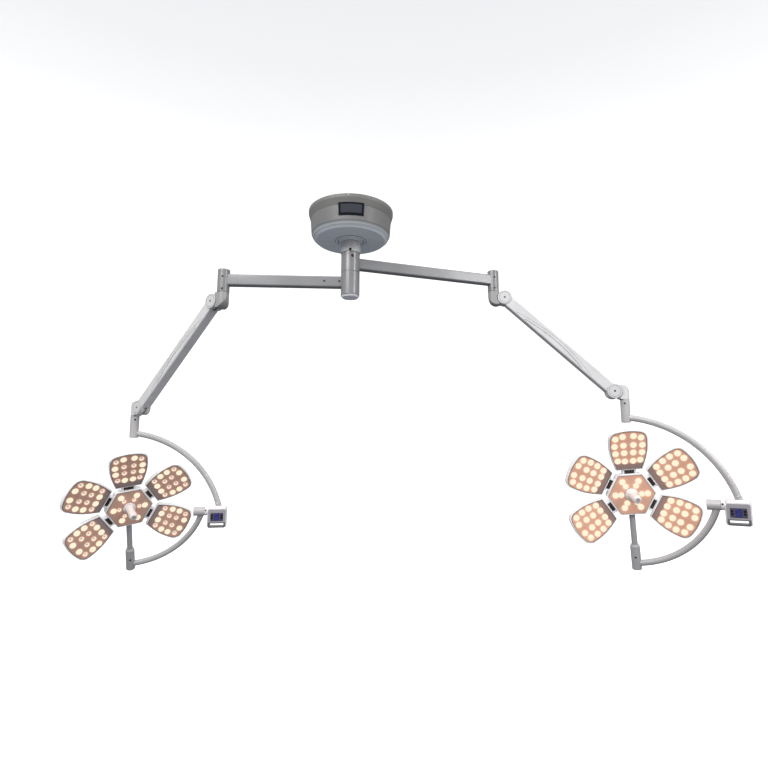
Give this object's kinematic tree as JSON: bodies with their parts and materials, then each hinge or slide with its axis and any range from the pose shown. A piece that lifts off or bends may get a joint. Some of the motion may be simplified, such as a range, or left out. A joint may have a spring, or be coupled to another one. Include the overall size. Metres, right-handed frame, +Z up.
{
  "type": "surgical light",
  "caption": "Ceiling-mounted surgical light: petal-shaped LED heads in pivoting bows, carried by swivelling extension arms and balanced spring arms on a common spindle.",
  "frame": {"origin": "middle of the ceiling plate's top face, on the axis of the ceiling spindle", "axes": "+Z up into the ceiling along the spindle, +X towards the right-hand head, -Y towards the side that the heads face"},
  "size_m": [3.5219, 0.7939, 1.9899],
  "materials": {
    "canopy_upper": "satin",
    "canopy_lower": "satin",
    "mount_steel": "satin",
    "arm_grey": "satin",
    "arm_white": "satin",
    "bow_white": "satin",
    "stem_grey": "satin",
    "shell_white": "satin",
    "light_panel": "satin",
    "led_lens": "gloss",
    "slot_dark": "matte",
    "handle_white": "satin",
    "control_case": "satin",
    "control_bezel": "satin",
    "screen": "gloss",
    "key_black": "satin",
    "seam_dark": "matte",
    "rating_plate": "satin",
    "spring_steel": "satin",
    "screw_steel": "satin"
  },
  "bodies": {
    "ceiling_mount": {"ceiling_plate": "mount_steel", "canopy_shell": "canopy_upper", "canopy_lower_cover": "canopy_lower", "spindle": "arm_grey", "spindle_end_cap": "arm_grey", "power_supply": "mount_steel"},
    "extension_arm_left": {"extension_arm_left": "arm_grey"},
    "elbow_left": {"upper_knuckle_left": "arm_grey"},
    "spring_arm_left": {"spring_arm_left": "arm_white", "balance_spring_left": "spring_steel"},
    "level_left": {"lower_knuckle_left": "arm_white"},
    "upper_bow_left": {"upper_bow_left": "bow_white", "control_housing_left": "control_case", "display_panel_left": "control_bezel"},
    "button_1_left": {"button_1_left": "key_black"},
    "button_2_left": {"button_2_left": "key_black"},
    "button_3_left": {"button_3_left": "key_black"},
    "button_4_left": {"button_4_left": "key_black"},
    "lower_bow_left": {"lower_bow_left": "bow_white"},
    "head_left": {"stem_left": "stem_grey", "centre_housing_left": "shell_white", "centre_front_left": "light_panel", "petal_shell_upper_outer_left": "shell_white", "petal_front_upper_outer_left": "light_panel", "petal_shell_top_left": "shell_white", "petal_front_top_left": "light_panel", "petal_shell_upper_inner_left": "shell_white", "petal_front_upper_inner_left": "light_panel", "petal_shell_lower_inner_left": "shell_white", "petal_front_lower_inner_left": "light_panel", "petal_shell_lower_outer_left": "shell_white", "petal_front_lower_outer_left": "light_panel"},
    "handle_left": {"handle_left": "handle_white"},
    "extension_arm_right": {"extension_arm_right": "arm_grey"},
    "elbow_right": {"upper_knuckle_right": "arm_grey"},
    "spring_arm_right": {"spring_arm_right": "arm_white", "balance_spring_right": "spring_steel"},
    "level_right": {"lower_knuckle_right": "arm_white"},
    "upper_bow_right": {"upper_bow_right": "bow_white", "control_housing_right": "control_case", "display_panel_right": "control_bezel"},
    "button_1_right": {"button_1_right": "key_black"},
    "button_2_right": {"button_2_right": "key_black"},
    "button_3_right": {"button_3_right": "key_black"},
    "button_4_right": {"button_4_right": "key_black"},
    "lower_bow_right": {"lower_bow_right": "bow_white"},
    "head_right": {"stem_right": "stem_grey", "centre_housing_right": "shell_white", "centre_front_right": "light_panel", "petal_shell_upper_outer_right": "shell_white", "petal_front_upper_outer_right": "light_panel", "petal_shell_top_right": "shell_white", "petal_front_top_right": "light_panel", "petal_shell_upper_inner_right": "shell_white", "petal_front_upper_inner_right": "light_panel", "petal_shell_lower_inner_right": "shell_white", "petal_front_lower_inner_right": "light_panel", "petal_shell_lower_outer_right": "shell_white", "petal_front_lower_outer_right": "light_panel"},
    "handle_right": {"handle_right": "handle_white"}
  },
  "joints": [
    {"name": "hub_turn_left", "type": "hinge", "parent": "ceiling_mount", "child": "extension_arm_left", "pos_m": [0, 0, -0.3957], "axis": [0, 0, 1], "range_deg": [-130, 130]},
    {"name": "elbow_turn_left", "type": "hinge", "parent": "extension_arm_left", "child": "elbow_left", "pos_m": [-0.67094, -0.03399, -0.4637], "axis": [0, 0, 1], "range_deg": [-120, 120]},
    {"name": "spring_arm_lift_left", "type": "hinge", "parent": "elbow_left", "child": "spring_arm_left", "pos_m": [-0.7226, -0.00044, -0.5061], "axis": [-0.5446, -0.8387, 0], "range_deg": [-58, 8]},
    {"name": "levelling_left", "type": "hinge", "parent": "spring_arm_left", "child": "level_left", "pos_m": [-1.22652, 0.32681, -1.04333], "axis": [-0.5446, -0.8387, 0], "range_deg": [-8, 58]},
    {"name": "bow_swivel_left", "type": "hinge", "parent": "level_left", "child": "upper_bow_left", "pos_m": [-1.27533, 0.35851, -1.08803], "axis": [0, 0, 1], "range_deg": [-165, 165]},
    {"name": "press_1_left", "type": "slide", "parent": "upper_bow_left", "child": "button_1_left", "axis": [-0.2402, 0.9707, 0], "range_m": [0, 0.0008], "stiffness_N_per_m": 400},
    {"name": "press_2_left", "type": "slide", "parent": "upper_bow_left", "child": "button_2_left", "axis": [-0.2402, 0.9707, 0], "range_m": [0, 0.0008], "stiffness_N_per_m": 400},
    {"name": "press_3_left", "type": "slide", "parent": "upper_bow_left", "child": "button_3_left", "axis": [-0.2402, 0.9707, 0], "range_m": [0, 0.0008], "stiffness_N_per_m": 400},
    {"name": "press_4_left", "type": "slide", "parent": "upper_bow_left", "child": "button_4_left", "axis": [-0.2402, 0.9707, 0], "range_m": [0, 0.0008], "stiffness_N_per_m": 400},
    {"name": "bow_tilt_left", "type": "hinge", "parent": "upper_bow_left", "child": "lower_bow_left", "pos_m": [-1.27533, 0.35851, -1.64253], "axis": [0.9707, 0.2402, 0], "range_deg": [-60, 120]},
    {"name": "head_turn_left", "type": "hinge", "parent": "lower_bow_left", "child": "head_left", "pos_m": [-1.27533, 0.35851, -1.64253], "axis": [0.103, -0.4164, 0.9033], "range_deg": [-150, 150]},
    {"name": "handle_turn_left", "type": "hinge", "parent": "head_left", "child": "handle_left", "pos_m": [-1.25342, 0.31863, -1.61381], "axis": [0.5805, -0.7123, -0.3945], "range_deg": [-60, 60]},
    {"name": "hub_turn_right", "type": "hinge", "parent": "ceiling_mount", "child": "extension_arm_right", "pos_m": [0, 0, -0.289], "axis": [0, 0, 1], "range_deg": [-130, 130]},
    {"name": "elbow_turn_right", "type": "hinge", "parent": "extension_arm_right", "child": "elbow_right", "pos_m": [0.82718, 0.26797, -0.357], "axis": [0, 0, 1], "range_deg": [-120, 120]},
    {"name": "spring_arm_lift_right", "type": "hinge", "parent": "elbow_right", "child": "spring_arm_right", "pos_m": [0.88824, 0.25982, -0.3994], "axis": [0.1323, 0.9912, 0], "range_deg": [-60, 6]},
    {"name": "levelling_right", "type": "hinge", "parent": "spring_arm_right", "child": "level_right", "pos_m": [1.46487, 0.18288, -0.95727], "axis": [0.1323, 0.9912, 0], "range_deg": [-6, 60]},
    {"name": "bow_swivel_right", "type": "hinge", "parent": "level_right", "child": "upper_bow_right", "pos_m": [1.52255, 0.17519, -1.00197], "axis": [0, 0, 1], "range_deg": [-165, 165]},
    {"name": "press_1_right", "type": "slide", "parent": "upper_bow_right", "child": "button_1_right", "axis": [0.5432, 0.8396, 0], "range_m": [0, 0.0008], "stiffness_N_per_m": 400},
    {"name": "press_2_right", "type": "slide", "parent": "upper_bow_right", "child": "button_2_right", "axis": [0.5432, 0.8396, 0], "range_m": [0, 0.0008], "stiffness_N_per_m": 400},
    {"name": "press_3_right", "type": "slide", "parent": "upper_bow_right", "child": "button_3_right", "axis": [0.5432, 0.8396, 0], "range_m": [0, 0.0008], "stiffness_N_per_m": 400},
    {"name": "press_4_right", "type": "slide", "parent": "upper_bow_right", "child": "button_4_right", "axis": [0.5432, 0.8396, 0], "range_m": [0, 0.0008], "stiffness_N_per_m": 400},
    {"name": "bow_tilt_right", "type": "hinge", "parent": "upper_bow_right", "child": "lower_bow_right", "pos_m": [1.52255, 0.17519, -1.55647], "axis": [0.8396, -0.5432, 0], "range_deg": [-60, 120]},
    {"name": "head_turn_right", "type": "hinge", "parent": "lower_bow_right", "child": "head_right", "pos_m": [1.52255, 0.17519, -1.55647], "axis": [-0.1166, -0.1803, 0.9767], "range_deg": [-150, 150]},
    {"name": "handle_turn_right", "type": "hinge", "parent": "head_right", "child": "handle_right", "pos_m": [1.5126, 0.13828, -1.5186], "axis": [-0.1586, -0.9674, -0.1975], "range_deg": [-60, 60]}
  ],
  "couplings": [
    {"joint": "levelling_left", "follows": "spring_arm_lift_left", "ratio": -1},
    {"joint": "levelling_right", "follows": "spring_arm_lift_right", "ratio": -1}
  ]
}
